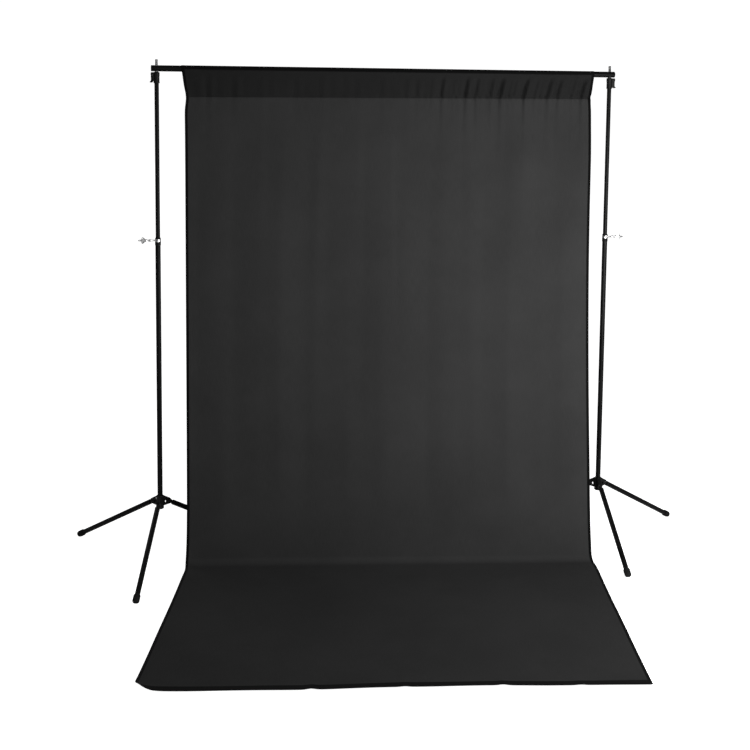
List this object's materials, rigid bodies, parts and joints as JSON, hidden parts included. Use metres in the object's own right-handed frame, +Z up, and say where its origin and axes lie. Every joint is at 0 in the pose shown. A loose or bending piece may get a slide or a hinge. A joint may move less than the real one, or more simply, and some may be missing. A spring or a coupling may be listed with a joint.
{
  "type": "backdrop stand",
  "caption": "Background stand set: folding tripod masts joined by a crossbar that passes through the rod pocket of a black backdrop cloth, which drops to the floor and sweeps forward.",
  "frame": {"origin": "centre of the whole set's footprint, on the floor", "axes": "+X along the crossbar, to the right seen from the front; +Y away from the side that the cloth sweeps out to; +Z up"},
  "size_m": [2.3966, 1.4786, 1.836],
  "materials": {
    "tube_black": "satin",
    "moulding_black": "satin",
    "chrome_plate": "polished",
    "rivet_black": "satin",
    "rubber_black": "matte",
    "cloth_black": "matte"
  },
  "bodies": {
    "crossbar": {"crossbar_left": "tube_black", "crossbar_middle": "tube_black", "crossbar_right": "tube_black", "crossbar_plug_left": "moulding_black", "crossbar_plug_right": "moulding_black"},
    "backdrop": {"backdrop_cloth": "cloth_black"},
    "left_upper": {"left_upper_tube": "tube_black", "left_tube_plug": "moulding_black", "left_top_socket": "moulding_black", "left_spigot": "chrome_plate", "left_lever_pin": "chrome_plate"},
    "left_lever": {"left_lock_lever": "moulding_black"},
    "left_lower": {"left_lower_tube": "tube_black", "left_clamp_collar": "moulding_black", "left_clamp_band": "chrome_plate", "left_pressure_pad": "rubber_black", "left_hub": "moulding_black", "left_hub_screw": "chrome_plate", "left_outer_leg_pin": "rivet_black", "left_front_leg_pin": "rivet_black", "left_inner_leg_pin": "rivet_black"},
    "left_screw": {"left_clamp_screw": "chrome_plate"},
    "left_outer_leg": {"left_outer_leg_tongue": "moulding_black", "left_outer_leg_tube": "tube_black", "left_outer_foot": "rubber_black"},
    "left_front_leg": {"left_front_leg_tongue": "moulding_black", "left_front_leg_tube": "tube_black", "left_front_foot": "rubber_black"},
    "left_inner_leg": {"left_inner_leg_tongue": "moulding_black", "left_inner_leg_tube": "tube_black", "left_inner_foot": "rubber_black"},
    "right_upper": {"right_upper_tube": "tube_black", "right_tube_plug": "moulding_black", "right_top_socket": "moulding_black", "right_spigot": "chrome_plate", "right_lever_pin": "chrome_plate"},
    "right_lever": {"right_lock_lever": "moulding_black"},
    "right_lower": {"right_lower_tube": "tube_black", "right_clamp_collar": "moulding_black", "right_clamp_band": "chrome_plate", "right_pressure_pad": "rubber_black", "right_hub": "moulding_black", "right_hub_screw": "chrome_plate", "right_outer_leg_pin": "rivet_black", "right_front_leg_pin": "rivet_black", "right_inner_leg_pin": "rivet_black"},
    "right_screw": {"right_clamp_screw": "chrome_plate"},
    "right_outer_leg": {"right_outer_leg_tongue": "moulding_black", "right_outer_leg_tube": "tube_black", "right_outer_foot": "rubber_black"},
    "right_front_leg": {"right_front_leg_tongue": "moulding_black", "right_front_leg_tube": "tube_black", "right_front_foot": "rubber_black"},
    "right_inner_leg": {"right_inner_leg_tongue": "moulding_black", "right_inner_leg_tube": "tube_black", "right_inner_foot": "rubber_black"}
  },
  "joints": [
    {"name": "backdrop_fall", "type": "slide", "parent": "crossbar", "child": "backdrop", "axis": [0, 0, -1], "range_m": [-0.52, 0.25], "deforming": ["backdrop_cloth"]},
    {"name": "left_swivel", "type": "hinge", "parent": "crossbar", "child": "left_upper", "pos_m": [-0.87259, 0.45873, 1.804], "axis": [0, 0, 1], "range_deg": [-10, 10]},
    {"name": "left_lever_flip", "type": "hinge", "parent": "left_upper", "child": "left_lever", "pos_m": [-0.88759, 0.45873, 1.781], "axis": [0, 1, 0], "range_deg": [0, 95]},
    {"name": "left_mast_slide", "type": "slide", "parent": "left_upper", "child": "left_lower", "axis": [0, 0, -1], "range_m": [-0.52, 0.25]},
    {"name": "left_screw_turn", "type": "hinge", "parent": "left_lower", "child": "left_screw", "pos_m": [-0.91259, 0.45873, 1.186], "axis": [-1, 0, 0], "range_deg": [0, 360]},
    {"name": "left_outer_leg_fold", "type": "hinge", "parent": "left_lower", "child": "left_outer_leg", "pos_m": [-0.89768, 0.48016, 0.213], "axis": [-0.6494, -0.7604, 0], "range_deg": [0, 61]},
    {"name": "left_front_leg_fold", "type": "hinge", "parent": "left_lower", "child": "left_front_leg", "pos_m": [-0.8786, 0.42628, 0.213], "axis": [0.9833, -0.1822, 0], "range_deg": [0, 61]},
    {"name": "left_inner_leg_fold", "type": "hinge", "parent": "left_lower", "child": "left_inner_leg", "pos_m": [-0.84148, 0.46974, 0.213], "axis": [-0.3338, 0.9426, 0], "range_deg": [0, 61]},
    {"name": "right_swivel", "type": "hinge", "parent": "crossbar", "child": "right_upper", "pos_m": [0.81741, 0.45873, 1.804], "axis": [0, 0, 1], "range_deg": [-10, 10]},
    {"name": "right_lever_flip", "type": "hinge", "parent": "right_upper", "child": "right_lever", "pos_m": [0.83241, 0.45873, 1.781], "axis": [0, -1, 0], "range_deg": [0, 95]},
    {"name": "right_mast_slide", "type": "slide", "parent": "right_upper", "child": "right_lower", "axis": [0, 0, -1], "range_m": [-0.52, 0.25]},
    {"name": "right_screw_turn", "type": "hinge", "parent": "right_lower", "child": "right_screw", "pos_m": [0.85741, 0.45873, 1.186], "axis": [1, 0, 0], "range_deg": [0, 360]},
    {"name": "right_outer_leg_fold", "type": "hinge", "parent": "right_lower", "child": "right_outer_leg", "pos_m": [0.847, 0.47335, 0.213], "axis": [-0.4431, 0.8965, 0], "range_deg": [0, 61]},
    {"name": "right_front_leg_fold", "type": "hinge", "parent": "right_lower", "child": "right_front_leg", "pos_m": [0.81528, 0.4258, 0.213], "axis": [0.9979, -0.0645, 0], "range_deg": [0, 61]},
    {"name": "right_inner_leg_fold", "type": "hinge", "parent": "right_lower", "child": "right_inner_leg", "pos_m": [0.78996, 0.47704, 0.213], "axis": [-0.5548, -0.832, 0], "range_deg": [0, 61]}
  ],
  "couplings": [
    {"joint": "right_mast_slide", "follows": "left_mast_slide", "ratio": 1},
    {"joint": "backdrop_fall", "follows": "left_mast_slide", "ratio": 1}
  ]
}
